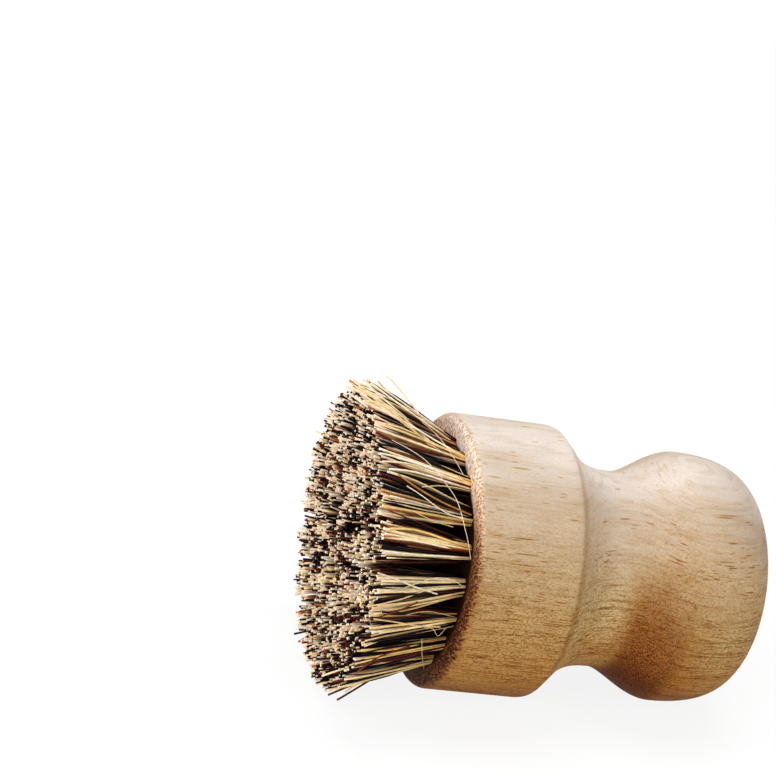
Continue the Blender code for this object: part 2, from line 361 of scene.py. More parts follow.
def wood_fields(g, mm, brush):
    """What the look of the wood depends on, by name."""
    fields = g.noises(mm, WOOD_NOISES)
    split = g.node("ShaderNodeSeparateXYZ", {"Vector": mm})
    along, side, up = (split.outputs[k] for k in range(3))
    radius = g.math("SQRT", g.math("ADD", g.math("POWER", side, 2.0), g.math("POWER", up, 2.0)))
    normal = g.node("ShaderNodeNewGeometry").outputs["Normal"]
    axis = brush.to_3x3() @ Vector((1, 0, 0))
    facing = g.node("ShaderNodeVectorMath", {0: normal, 1: axis}, operation="DOT_PRODUCT").outputs["Value"]
    height = g.math("DIVIDE", g.math("MULTIPLY", up, TOP_HEIGHT), g.math("MAXIMUM", radius, LEAST_RADIUS))
    height = g.math("ADD", height, g.swing(fields["drift"], HEIGHT_DRIFT))
    depth = g.math("SUBTRACT", along, FACE_WEAR / MM)
    edge = g.math("MULTIPLY", depth, g.span(height, *STEEPER_ABOVE))
    fields |= {"along": along, "radius": radius, "height": height, "facing": facing, "depth": depth}
    fields["off_axis"] = g.math("ABSOLUTE", facing)
    fields["layer_lines"] = g.off_middle(fields["layers"])
    fields["arc_lines"] = g.off_middle(fields["arcs"])
    fields["knob_shade_edge"] = g.math("ADD", height, g.swing(fields["speckle"], KNOB_SHADE_EDGE_SWING))
    fields["edge"] = g.math("ADD", edge, g.swing(fields["ragged"], RAGGED_SWING))
    fields["pores"] = wood_pores(g, mm, fields)
    return fields


def wood_pores(g, mm, fields):
    """How deep in a pore a point is, from 0 to 1."""
    crowd = g.share(fields, [PORE_CROWDS])
    pores = None
    for cells, width, rare, darkest in PORES:
        distance, chance = g.scatter(mm, cells)
        size = g.math("MULTIPLY", crowd, g.span(chance, rare, rare + PORE_SIZE_SPAN, 0.0, width))
        depth = g.math("SUBTRACT", 1.0, g.math("DIVIDE", distance, g.math("ADD", size, LEAST_PORE)))
        depth = g.math("MULTIPLY", g.span(depth, 0.0, PORE_FLOOR), darkest)
        pores = depth if pores is None else g.math("MAXIMUM", pores, depth)
    return g.math("MULTIPLY", pores, g.share(fields, [PORE_FADE]))


def end_grain(g, fields):
    """Colour of the rough rim: dark below and pale above, partly the end grain's own colour and burn marks
    and partly painted shade below and painted light above, with light and dark grains.
    """
    rim = g.tinted(g.ramp(fields["height"], RIM_AND_SHADE_BY_HEIGHT), fields, RIM_TINTS)
    grains = g.mix(RIM_GRAIN_SHARE, rim, RIM_GRAIN_COLOUR)
    return g.tinted(g.mix(g.share(fields, [RIM_GRAINS]), rim, grains), fields, RIM_BLOTS)


def gap_shade_share(g, fields):
    """How far a point is covered by the painted shade between the tufts."""
    height = fields["height"]
    reach = g.math("SUBTRACT", g.span(height, *GAP_SHADE_REACH), g.span(height, *GAP_SHADE_DRAWN_IN))
    start, full = (g.math("ADD", reach, radius) for radius in (GAP_SHADE_START, GAP_SHADE_FULL))
    return g.math("MULTIPLY", g.span(fields["radius"], start, full), g.span(fields["depth"], *GAP_SHADE_DEPTH))


def wood_material(brush):
    """Pale turned wood: grain along X, short brown pores, end grain on the drilled face and its rim."""
    g = Graph(bpy.data.materials.new("turned_wood"))
    mm = g.brush_place(brush)
    fields = wood_fields(g, mm, brush)
    height = fields["height"]

    # The ramp by height paints light on the upper side and shade on the lower side
    colour = g.tinted(g.ramp(height, WOOD_AND_SHADE_BY_HEIGHT), fields, SIDE_TINTS)
    # Painted shade under the knob, with the wood's grains in it
    knob_shade = g.tinted(g.mix(g.span(height, *KNOB_SHADE_LOWER), *KNOB_SHADE_COLOURS), fields, KNOB_SHADE_GRAINS)
    colour = g.mix(g.share(fields, KNOB_SHADE), colour, knob_shade)
    colour = g.tinted(colour, fields, PORE_TINTS)
    border = g.tinted(g.mix(g.span(height, *BORDER_LOWER), *BORDER_COLOURS), fields, BORDER_TINTS)
    colour = g.mix(g.share(fields, [BORDER]), colour, border)
    colour = g.mix(g.share(fields, [RIM]), colour, end_grain(g, fields))
    # Painted shade between the tufts
    colour = g.mix(gap_shade_share(g, fields), colour, GAP_SHADE_COLOUR)

    fuzz = g.math("MULTIPLY", fields["fuzz"], FUZZ_RELIEF)
    hollow = g.math("MULTIPLY", fields["pores"], PORE_RELIEF)
    grit = g.share(fields, [RIM, RIM_RELIEF, ("grit",)])
    relief = g.math("ADD", g.math("SUBTRACT", fuzz, hollow), grit)
    bump = {"Height": relief, "Strength": BUMP_STRENGTH, "Distance": BUMP_HEIGHT}
    normal = g.node("ShaderNodeBump", bump).outputs[0]
    g.surface(colour, g.share(fields, [WOOD_ROUGHNESS]), WOOD_SHINE, normal)
    return g.owner


FIBRE_NOISES = {"streaks": ((0.35, 5.2, 5.2), 2.0), "blotches": ((0.42, 0.9, 0.9), 1.0)}
FIBRE_SHADE = (("streaks", 0.3, 0.7, 0.86, 1.14), ("blotches", 0.3, 0.7, 0.90, 1.12))
FIBRE_ROUGHNESS, FIBRE_SHINE = 0.45, 0.08


def fibre_material(brush):
    """Stiff plant fibre. Each fibre has its own colour, and fine streaks run along it."""
    g = Graph(bpy.data.materials.new("plant_fibre"))
    own = g.node("ShaderNodeAttribute", attribute_name="fibre_colour").outputs["Color"]
    shade = g.share(g.noises(g.brush_place(brush), FIBRE_NOISES), FIBRE_SHADE)
    grey = g.node("ShaderNodeCombineColor", {0: shade, 1: shade, 2: shade}).outputs[0]
    g.surface(g.mix(1.0, own, grey, "MULTIPLY"), FIBRE_ROUGHNESS, FIBRE_SHINE)
    return g.owner


# ---------------------------------------------------------------- turned handle


def curve(start, pull_out, pull_in, end, steps=CURVE_STEPS):
    """Points (along, radius) on a cubic curve, without its first one."""
    knots = (start, pull_out, pull_in, end)
    points = []
    for step in range(1, steps + 1):
        t = step / steps
        weights = ((1 - t) ** 3, 3 * t * (1 - t) ** 2, 3 * t * t * (1 - t), t**3)
        points.append(tuple(sum(w * c[i] for w, c in zip(weights, knots)) for i in (0, 1)))
    return points


def handle_profile():
    """(along, radius) from the drilled face's rim to the flat at the knob's end."""
    edge = (HEAD_LENGTH, HEAD_RADIUS - SHOULDER_DROP)
    neck = (edge[0] + NECK_RUN, NECK_RADIUS)
    knob = (neck[0] + KNOB_RUN, KNOB_RADIUS)
    end = (knob[0] + END_RUN, END_FLAT_RADIUS)
    shoulder = HEAD_LENGTH - SHOULDER_LENGTH
    fall = edge[1] - neck[1]
    inner = (FACE_WEAR, HEAD_RADIUS - RIM_CHAMFER)
    outer = (FACE_WEAR + RIM_CHAMFER, HEAD_RADIUS)
    points = [(FACE_WEAR, inner[1] - FLAT_ROW), inner]
    pull_out = (FACE_WEAR + RIM_PULL_OUT[0] * RIM_CHAMFER, inner[1] + RIM_PULL_OUT[1] * RIM_CHAMFER)
    points += curve(inner, pull_out, (FACE_WEAR + RIM_PULL_IN * RIM_CHAMFER, outer[1]), outer, RIM_STEPS)
    for step in range(1, SIDE_STEPS + 1):
        points.append((outer[0] + (shoulder - outer[0]) * step / SIDE_STEPS, HEAD_RADIUS))
    for step in range(1, SHOULDER_STEPS + 1):
        turn = math.pi / 2 * step / SHOULDER_STEPS
        drop = SHOULDER_DROP * (1 - math.cos(turn))
        points.append((shoulder + SHOULDER_LENGTH * math.sin(turn), HEAD_RADIUS - drop))
    points += curve(
        edge,
        (edge[0] + EDGE_RUN_SHARE * NECK_RUN, edge[1] - EDGE_FALL_SHARE * fall),
        (neck[0] - NECK_PULL_SHARE * NECK_RUN, neck[1]),
        neck,
    )
    points += curve(
        neck,
        (neck[0] + KNOB_PULL_SHARE * KNOB_RUN, neck[1]),
        (knob[0] - KNOB_PULL_SHARE * KNOB_RUN, knob[1]),
        knob,
    )
    points += curve(
        knob,
        (knob[0] + END_PULL_SHARE * END_RUN, knob[1]),
        (end[0], END_RADIUS_SHARE * knob[1]),
        end,
    )
    return points


def hole_ring(place, height):
    turns = [2 * math.pi * k / HOLE_SIDES for k in range(HOLE_SIDES)]
    return [place @ Vector((HOLE_RADIUS * math.cos(t), HOLE_RADIUS * math.sin(t), height)) for t in turns]


def mesh_from(name, points, faces, material=None):
    mesh = bpy.data.meshes.new(name)
    mesh.from_pydata([tuple(point) for point in points], [], faces)
    if material:
        mesh.materials.append(material)
    mesh.update()
    return mesh


def add_object(name, data, matrix):
    made = bpy.data.objects.new(name, data)
    bpy.context.scene.collection.objects.link(made)
    made.matrix_world = matrix
    return made


def add_piece(name, mesh, brush):
    """A piece of the brush. Its mesh is carried from the brush's frame into the world."""
    mesh.transform(brush)
    mesh.update()
    return add_object(name, mesh, Matrix.Identity(4))


def turned_mesh(name, profile, material):
    """The profile turned about X, closed by its two flats."""
    points, faces, sides = [], [], HANDLE_SIDES
    for along, radius in profile:
        for k in range(sides):
            turn = 2 * math.pi * k / sides
            points.append((along, radius * math.cos(turn), radius * math.sin(turn)))
    for row in range(len(profile) - 1):
        for k in range(sides):
            a, b = row * sides + k, row * sides + (k + 1) % sides
            faces.append((a, b, b + sides, a + sides))
    last = (len(profile) - 1) * sides
    faces.append(tuple(range(sides))[::-1])
    faces.append(tuple(range(last, last + sides)))
    return mesh_from(name, points, faces, material)


def tuft_places(ring):
    """Where a ring's tufts cross the drilled face.

    A tuft's own +Z follows its fibres, and its +X points inward.
    """
    count, share = RINGS[ring]
    out = Matrix.Translation((0, 0, -RING_RADIUS * share))
    lean = Matrix.Rotation(-math.pi / 2 - OUTER_LEAN * share, 4, "Y")
    return [Matrix.Rotation(2 * math.pi * (k + 0.5) / count, 4, "X") @ out @ lean for k in range(count)]


def drill_mesh():
    """All the holes as one closed tool, from their bottoms to a little over the face."""
    points, faces = [], []
    for ring in RINGS:
        for place in tuft_places(ring):
            start = len(points)
            points += hole_ring(place, -HOLE_DEPTH) + hole_ring(place, DRILL_STANDS_OUT)
            low = list(range(start, start + HOLE_SIDES))
            high = [k + HOLE_SIDES for k in low]
            faces += [(low[k - 1], low[k], high[k], high[k - 1]) for k in range(HOLE_SIDES)]
            faces += [tuple(low[::-1]), tuple(high)]
    return mesh_from("drill", points, faces)


def make_handle(brush, material):
    """The turned solid with the tufts' holes cut into it."""
    solid = add_piece("turned_handle", turned_mesh("turned_handle", handle_profile(), material), brush)
    drill = add_piece("drill", drill_mesh(), brush)
    cut = solid.modifiers.new("holes", "BOOLEAN")
    cut.operation, cut.object, cut.solver = "DIFFERENCE", drill, "EXACT"
    bpy.context.view_layer.update()
    graph = bpy.context.evaluated_depsgraph_get()
    drilled = bpy.data.meshes.new_from_object(solid.evaluated_get(graph))
    solid.modifiers.clear()
    solid.data = drilled
    bpy.data.objects.remove(drill)
    drilled.shade_smooth()
    drilled.set_sharp_from_angle(angle=HANDLE_SHARP_EDGE)
    return solid


# ---------------------------------------------------------------- camera


def camera_axes():
    """(position, right, down, ahead) of the camera, in the brush's frame."""
    axis = Vector((1, 0, 0))
    near = Vector((0, -math.cos(VIEW_RISE), math.sin(VIEW_RISE)))
    ahead = math.sin(VIEW_YAW) * axis - math.cos(VIEW_YAW) * near
    level = (axis - math.sin(VIEW_YAW) * ahead) / math.cos(VIEW_YAW)
    fall = ahead.cross(level)
    right = math.cos(VIEW_ROLL) * level - math.sin(VIEW_ROLL) * fall
    down = math.sin(VIEW_ROLL) * level + math.cos(VIEW_ROLL) * fall
    seen = FACE_SEEN_AT
    return -(seen.x * right + seen.y * down + seen.z * ahead), right, down, ahead


def make_camera(brush):
    position, right, down, ahead = camera_axes()
    axes = Matrix((right, -down, -ahead)).transposed().to_4x4()
    data = bpy.data.cameras.new("camera")
    data.sensor_width = SENSOR
    data.lens = SENSOR * FOCAL_PIXELS / IMAGE_PIXELS
    data.clip_start, data.clip_end = SEES_FROM, SEES_TO
    camera = add_object("camera", data, brush @ Matrix.Translation(position) @ axes)
    bpy.context.scene.camera = camera


def ray_of(pixel):
    """(start, direction) of the camera's ray through a pixel, in the brush's frame."""
    position, right, down, ahead = camera_axes()
    x, y = ((value - IMAGE_PIXELS / 2) / FOCAL_PIXELS for value in pixel)
    return position, ahead + x * right + y * down


# ---------------------------------------------------------------- fibres

FIBRE_SIDES = 8
# How far apart fibres are packed in a hole, and more rows than it has room for
FIBRE_PITCH = 0.31 * MM
PACK_RADIUS = 1.84 * MM
PACK_ROWS = range(-8, 9)
ROOT_JITTER = 0.02 * MM
THINNEST, THICKEST = 0.13 * MM, 0.25 * MM
# Above 1, more of the fibres are thin
THIN_SHARE = 1.3
SUNK = 8.0 * MM

# How wide a tuft spreads at its tips, and how much one tuft differs from the next
TIP_SPREAD, SPREAD_VARIES = 3.9 * MM, (0.92, 1.08)
# How much wider the outer tufts spread towards each other
OUTER_SIDE_SPREAD = 1.1
# How far tips lie aside: a whole tuft's, each fibre's, and those of the few wild ones
TUFT_SHIFT, TIP_JITTER = 0.45 * MM, 0.30 * MM
WILD_SHARE, WILD_SHIFT = 0.12, 1.3 * MM
# Small bunches of a tuft, how far out their middles lie, and how far each draws its tips together
BUNCHES = 7
BUNCH_REACH, BUNCH_VARIES = 0.64, (0.85, 1.15)
BUNCH_PULL = (0.08, 0.42)
# Bend of a fibre, how much of it sways back, and the few that are bent more
BEND, SWAY_BACK = 0.38 * MM, 0.35
CROOKED_SHARE, CROOKED_BEND = 0.1, 1.6
RUN_SHARES = (0.0, 0.12, 0.3, 0.5, 0.7, 0.82, 0.92, 1.0)
# The same for all rings of a fibre, whose first one is sunk in the hole
RING_SHARES = np.array((0.0, *RUN_SHARES))

# The flat trim, how unevenly it cuts fibres and tufts, and the fibres that are cut short (millimetres)
TRIM_AT_CENTRE, TRIM_TILT = 16.8 * MM, (-0.33 * MM, 0.79 * MM)
TRIM_JITTER, TUFT_TRIM_JITTER = 0.13 * MM, 0.12 * MM
SHORT_SHARE, SHORT_BY = 0.32, (0.3, 1.9)
WIDEST = 31.0 * MM
FLOOR_GAP = 0.3 * MM

FIBRE_KINDS = (
    # share of the mix, side colour, cut end colour
    (0.20, linear(252, 229, 180), linear(253, 229, 198)),
    (0.20, linear(255, 241, 218), linear(254, 236, 214)),
    (0.11, linear(234, 204, 138), linear(248, 216, 166)),
    (0.04, linear(150, 88, 50), linear(186, 112, 66)),
    (0.105, linear(80, 22, 12), linear(92, 30, 18)),
    (0.37, linear(9, 1, 1), linear(14, 3, 3)),
)
KIND_SHARES, KIND_SIDES, KIND_ENDS = (np.array(values) for values in zip(*FIBRE_KINDS))
DARK_KINDS = (4, 5)
# How much the mix differs from one small bunch to the next
MIX_VARIES = (0.6, 1.4)
# How many times more or fewer dark fibres a small bunch may have, in the outer ring and further in
OUTER_DARK_BUNCHES, DARK_BUNCHES = 1.6, 6.0
# How many times the others' dark fibres the outer ring has, and how many times more some of its tufts have
OUTER_DARKNESS = 0.72
TUFT_DARKNESS = {
    7: 1.2, 8: 1.5, 9: 1.8, 10: 1.25, 11: 1.3, 12: 1.35,
    13: 1.2, 15: 1.2, 16: 2.1, 17: 2.9, 18: 4.0, 19: 3.2,
}
# The lower tufts on the near side are yellower
LOWER_TUFTS, LOWER_TINT = range(14, 20), np.array((0.96, 0.92, 0.80))

# One fibre is lighter or darker than the next, and warmer or a little cooler (red, green, blue)
LIGHTNESS = (0.84, 1.22)
WARMTH, COOLEST, WARM_FACTORS = 0.10, -0.04, np.array((0.0, 0.35, 1.5))
BLUEST, PALEST = 1.03, 0.96
# A fibre is browner at its root, over the first part of its free length
ROOT_TINT, ROOT_FADE = np.array((0.86, 0.70, 0.48)), 3.2
# Painted light: the last stretch of a pale fibre is painted paler towards the colour of its cut end, where
# light comes in between the tips
TIP_LIGHT_RUN, TIP_LIGHT_SHARE, TIP_LIGHT_CURVE = 3.0 * MM, 0.95, 0.7
# Depth under the trim at which the shade between the fibres starts and is full, and how dark it is
SHADE_START, SHADE_FULL = 0.8 * MM, 2.8 * MM
SHADE_DARKNESS, SHADE_TINT = 0.94, np.array((0.85, 1.1, 1.3))
# In an outer tuft it starts this far inward of the middle, and is full so much further in
SHADED_FROM, SHADED_OVER = -0.75, 1.1
# How dark a fibre's round gets where its neighbours are
FLANK_SHADE, FLANK_TINT = 0.40, np.array((0.9, 1.1, 1.3))
# How squarely the round faces out where that starts and is full
FLANK_START, FLANK_FULL = 0.75, 0.05
# Where along the fibre that fades and ends, as light comes in between the tips
FLANK_ENDS = 0.70, 0.93
# The neighbours of an outer tuft's fibre are towards this point, in shares of the tuft's radius
CROWDED_AT = (0.8, 0.0)
SHARP_EDGE = math.radians(50)


def packed_roots():
    """Places of the fibres in a hole, packed in rows."""
    spots = []
    row_step = FIBRE_PITCH * math.sqrt(3) / 2
    for row in PACK_ROWS:
        for column in PACK_ROWS:
            x = (column + 0.5 * (row % 2)) * FIBRE_PITCH
            y = row * row_step
            if math.hypot(x, y) <= PACK_RADIUS:
                spots.append((x, y))
    return np.array(spots)


def tuft_roots(random):
    """Places of a tuft's fibres in its hole, turned at random."""
    roots = packed_roots()
    turn = random.uniform(0, 2 * np.pi)
    rotate = np.array(((math.cos(turn), -math.sin(turn)), (math.sin(turn), math.cos(turn))))
    return roots @ rotate + random.normal(0, ROOT_JITTER, roots.shape)


def bunched(tips, random):
    """(tips drawn together in small bunches with open places between them, the bunch of each)"""
    turn = random.uniform(0, 2 * np.pi)
    angles = turn + 2 * np.pi * np.arange(BUNCHES - 1) / (BUNCHES - 1)
    reach = BUNCH_REACH * TIP_SPREAD * random.uniform(*BUNCH_VARIES, BUNCHES - 1)
    middles = np.stack([reach * np.cos(angles), reach * np.sin(angles)], axis=1)
    middles = np.concatenate([[[0.0, 0.0]], middles])
    nearest = np.linalg.norm(tips[:, None] - middles, axis=2).argmin(axis=1)
    pull = random.uniform(*BUNCH_PULL, BUNCHES)[nearest][:, None]
    return tips + (middles[nearest] - tips) * pull, nearest


def tuft_tips(roots, outer, random):
    """(where a tuft's tips are across it, the small bunch of each)"""
    tips = roots * (TIP_SPREAD * random.uniform(*SPREAD_VARIES) / PACK_RADIUS)
    tips, bunches = bunched(tips, random)
    if outer:
        tips[:, 1] *= OUTER_SIDE_SPREAD
    tips += random.normal(0, TUFT_SHIFT, 2) + random.normal(0, TIP_JITTER, roots.shape)
    wild = random.random(len(roots)) < WILD_SHARE
    tips[wild] += random.normal(0, WILD_SHIFT, (wild.sum(), 2))
    return tips, bunches


def trim_length(point):
    """How far the slightly slanted trim lies from the face, over a point (side, up) of the brush."""
    return TRIM_AT_CENTRE + (TRIM_TILT[0] * point[0] + TRIM_TILT[1] * point[1]) / HEAD_RADIUS


def cut_lengths(place, lean, tips, random):
    """How long each fibre of a tuft is from the face to the trim. Some are cut a little short."""
    count = len(tips)
    centre = along_axes(place, np.array((0.0, 0.0, FREE_LENGTH)))
    trims = np.full(count, trim_length(centre[1:])) - np.abs(random.normal(0, TRIM_JITTER, count))
    trims -= np.where(random.random(count) < SHORT_SHARE, random.uniform(*SHORT_BY, count), 0) * MM
    trims += random.normal(0, TUFT_TRIM_JITTER)
    return (trims - tips[:, 0] * math.sin(lean)) / math.cos(lean)


def kept_clear(paths, brush):
    """Paths in the brush's frame, held inside its widest radius and above the floor."""
    radius = np.linalg.norm(paths[..., 1:], axis=-1, keepdims=True)
    paths[..., 1:] *= np.minimum(1.0, WIDEST / np.maximum(radius, MM))
    turn = np.array(brush)
    height = paths @ turn[2, :3] + turn[2, 3]
    paths[..., 2] += np.maximum(FLOOR_GAP - height, 0.0) / turn[2, 2]
    return paths


def along_axes(matrix, points):
    """Points (…, 3) carried by a matrix."""
    array = np.array(matrix)
    return points @ array[:3, :3].T + array[:3, 3]


def fibre_paths(place, roots, tips, lengths, random):
    """Paths of one tuft, in the brush's frame: straight in the hole, then fanned out to the trim."""
    count = len(roots)
    free = np.array(RUN_SHARES)[None, :, None]
    base = np.concatenate([roots, np.full((count, 1), -FACE_WEAR)], axis=1)[:, None]
    ends = np.concatenate([tips, lengths[:, None]], axis=1)[:, None]
    turn = random.uniform(0, 2 * np.pi, count)
    bend = np.abs(random.normal(0, BEND, count))
    bend = bend * np.where(random.random(count) < CROOKED_SHARE, CROOKED_BEND, 1.0)
    sway = np.stack([bend * np.cos(turn), bend * np.sin(turn), np.zeros(count)], axis=1)[:, None]
    paths = base + (ends - base) * free
    paths = paths + sway * np.sin(np.pi * free) - SWAY_BACK * sway * np.sin(2 * np.pi * free)
    sunk = base - np.array((0, 0, SUNK))
    return along_axes(place, np.concatenate([sunk, paths], axis=1))


def unit(vectors):
    return vectors / np.linalg.norm(vectors, axis=-1, keepdims=True)


def tube_arrays(paths, radii):
    """Points and normals (fibre, ring, side) of round fibres, from (fibre, ring) paths and radii."""
    ahead = unit(np.gradient(paths, axis=1))
    first = unit(np.cross(ahead, (0.0, 1.0, 0.0)))
    second = np.cross(ahead, first)
    turns = 2 * np.pi * np.arange(FIBRE_SIDES) / FIBRE_SIDES
    around = first[:, :, None] * np.cos(turns)[:, None] + second[:, :, None] * np.sin(turns)[:, None]
    return paths[:, :, None] + around * radii[:, :, None, None], around


def with_shaded_flanks(colours, around, open_sides):
    """Colours (fibre, ring, side, 3), darker except where a fibre faces its open side."""
    facing = np.einsum("frsk,fk->frs", around, open_sides)
    share = np.clip((facing - FLANK_FULL) / (FLANK_START - FLANK_FULL), 0, 1)
    near_end = (RING_SHARES - FLANK_ENDS[0]) / (FLANK_ENDS[1] - FLANK_ENDS[0])
    share = np.maximum(share, np.clip(near_end, 0, 1)[:, None])
    return colours * (FLANK_SHADE + (1 - FLANK_SHADE) * share[..., None]) ** FLANK_TINT


def tube_mesh(name, paths, radii, side_colours, end_colours, material, open_sides=None):
    """Closed fibres as one mesh. side_colours is (fibre, ring, 3) and end_colours is (fibre, 3).

    open_sides (fibre, 3) points where each fibre has no neighbour. The rest of its round is shaded.
    """
    points, around = tube_arrays(paths, radii)
    side_colours = side_colours[:, :, None] * np.ones((1, 1, FIBRE_SIDES, 1))
    if open_sides is not None:
        side_colours = with_shaded_flanks(side_colours, around, open_sides)
    count, rings, sides = points.shape[:3]
    index = np.arange(count * rings * sides).reshape(count, rings, sides)
    beside = np.roll(index, -1, 2)
    quads = np.stack([index[:, :-1], beside[:, :-1], beside[:, 1:], index[:, 1:]], axis=-1)
    quad_colours = side_colours.reshape(-1, 3)[quads]
    caps = np.concatenate([index[:, 0, ::-1], index[:, -1]])
    cap_colours = np.repeat(np.concatenate([side_colours[:, 0, 0], end_colours])[:, None], sides, axis=1)

    mesh = bpy.data.meshes.new(name)
    quads = quads.reshape(-1, 4)
    loops = np.concatenate([quads.ravel(), caps.ravel()])
    starts = np.concatenate([np.arange(len(quads)) * 4, len(quads) * 4 + np.arange(len(caps)) * sides])
    mesh.vertices.add(points.size // 3)
    mesh.vertices.foreach_set("co", points.astype(np.float32).ravel())
    mesh.loops.add(len(loops))
    mesh.loops.foreach_set("vertex_index", loops.astype(np.int32))
    mesh.polygons.add(len(starts))
    mesh.polygons.foreach_set("loop_start", starts.astype(np.int32))
    mesh.update(calc_edges=True)
    mesh.validate()
    colours = np.ones((len(loops), 4), np.float32)
    colours[:, :3] = np.concatenate([quad_colours.reshape(-1, 3), cap_colours.reshape(-1, 3)])
    mesh.attributes.new("fibre_colour", "FLOAT_COLOR", "CORNER").data.foreach_set("color", colours.ravel())
    mesh.materials.append(material)
    mesh.shade_smooth()
    mesh.set_sharp_from_angle(angle=SHARP_EDGE)
    return mesh


def dimmed(colours):
    """Colours held under the palest there may be, in their own hue."""
    return colours * np.minimum(1.0, PALEST / np.maximum(colours.max(axis=-1, keepdims=True), PALEST))


def fibre_colours(kinds, random, inward, lengths):
    """Side colours (fibre, ring, 3) and cut end colours (fibre, 3). Inward fibres get painted shade under the
    trim, and the last stretch of each fibre painted light.
    """
    sides, ends = KIND_SIDES[kinds], KIND_ENDS[kinds]
    light = random.uniform(*LIGHTNESS, (len(kinds), 1))
    warm = 1 - np.maximum(random.normal(0, WARMTH, (len(kinds), 1)), COOLEST) * WARM_FACTORS
    warm[:, 2] = np.minimum(warm[:, 2], BLUEST)
    along = RING_SHARES[None, :, None]
    tint = ROOT_TINT + (1 - ROOT_TINT) * np.clip(along * ROOT_FADE, 0, 1)
    depth = FREE_LENGTH - along * lengths[:, None, None]
    # Painted light on the last stretch towards the tip
    tip_light = TIP_LIGHT_SHARE * np.clip(1 - depth / TIP_LIGHT_RUN, 0, 1) ** TIP_LIGHT_CURVE
    sides = sides[:, None] + (ends - sides)[:, None] * tip_light
    depth = np.clip((depth - SHADE_START) / (SHADE_FULL - SHADE_START), 0, 1)
    shade = (1 - SHADE_DARKNESS * depth * inward[:, None, None]) ** SHADE_TINT
    coloured = sides * (light * warm)[:, None] * tint * shade
    return dimmed(coloured), dimmed(ends * light * shade[:, -1])


def tuft_kinds(bunches, outer, number, random):
    """The kind of each fibre of a tuft. Each small bunch has a mix of its own."""
    weights = KIND_SHARES * random.uniform(*MIX_VARIES, (BUNCHES, len(KIND_SHARES)))
    most, dark = DARK_BUNCHES, 1.0
    if outer:
        most, dark = OUTER_DARK_BUNCHES, OUTER_DARKNESS * TUFT_DARKNESS.get(number, 1.0)
    weights[:, DARK_KINDS] *= dark * most ** random.uniform(-1, 1, (BUNCHES, 1))
    mixes = np.cumsum(weights / weights.sum(axis=1, keepdims=True), axis=1)
    drawn = random.random((len(bunches), 1))
    return (drawn > mixes[bunches]).sum(axis=1).clip(0, len(KIND_SHARES) - 1)


def outer_open_sides(roots, place):
    """Where each fibre of an outer tuft has no neighbour, in the brush's frame."""
    ways = np.concatenate([roots / PACK_RADIUS - CROWDED_AT, np.zeros((len(roots), 1))], axis=1)
    return unit(ways) @ np.array(place.to_3x3()).T


def tuft_mesh(name, ring, number, place, brush, material, random):
    outer = ring == "outer"
    roots = tuft_roots(random)
    tips, bunches = tuft_tips(roots, outer, random)
    lengths = cut_lengths(place, OUTER_LEAN * RINGS[ring][1], tips, random)
    paths = kept_clear(fibre_paths(place, roots, tips, lengths, random), brush)
    radii = THINNEST + (THICKEST - THINNEST) * random.random(len(roots)) ** THIN_SHARE
    radii = radii[:, None] * np.ones(paths.shape[1])
    kinds = tuft_kinds(bunches, outer, number, random)
    inward, open_sides = np.ones(len(roots)), None
    if outer:
        inward = np.clip((roots[:, 0] / PACK_RADIUS - SHADED_FROM) / SHADED_OVER, 0, 1)
        open_sides = outer_open_sides(roots, place)
    sides, ends = fibre_colours(kinds, random, inward, lengths)
    if outer and number in LOWER_TUFTS:
        sides = sides * LOWER_TINT
    return tube_mesh(name, paths, radii, sides, ends, material, open_sides)


def make_tufts(brush, material):
    random = np.random.default_rng(SEED)
    for ring in RINGS:
        for k, place in enumerate(tuft_places(ring), start=1):
            name = f"{ring}_fibres_{k:02d}"
            piece = add_piece(name, tuft_mesh(name, ring, k, place, brush, material, random), brush)
            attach(piece, "root")
            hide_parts(f"{ring}_tuft_{k:02d}")


# ---------------------------------------------------------------- fanned fibres

# Loose fibres of some outer tufts: the tuft's number, the kind of fibre, and where its end is seen
FANNED_FIBRES = (
    (10, 0, (345, 386)), (10, 2, (349, 382)), (10, 1, (354, 381)), (10, 0, (362, 379)),
    (10, 1, (367, 378)), (10, 2, (378, 381)), (10, 0, (386, 374)), (10, 1, (349, 393)),
    (10, 0, (357, 388)), (10, 0, (352, 387)), (10, 4, (372, 386)), (10, 2, (362, 387)),
    (10, 1, (366, 384)), (10, 0, (371, 383)), (9, 5, (340, 396)), (9, 0, (348, 398)),
    (11, 1, (356, 398)), (11, 0, (362, 394)), (11, 0, (374, 396)), (11, 2, (368, 392)),
    (18, 4, (334, 682)), (18, 0, (322, 676)), (18, 5, (315, 671)), (19, 4, (328, 695)),
    (19, 4, (337, 700)), (19, 0, (345, 692)), (19, 2, (352, 686)), (18, 5, (343, 678)),
)
FANNED_RADII = 0.13 * MM, 0.20 * MM
# How far their ends lie to either side of the tuft's upright plane, and how far out their roots are
FANNED_DEPTH = 2.6 * MM
FANNED_ROOT = 0.8 * PACK_RADIUS


def fan_end(pixel, place, aside):
    """The point seen at a pixel, so far aside from a tuft's upright plane, in the tuft's own frame."""
    start, way = ray_of(pixel)
    radial = place.to_translation().normalized()
    tangent = Vector((1, 0, 0)).cross(radial)
    return place.inverted() @ (start + (aside - start.dot(tangent)) / way.dot(tangent) * way)


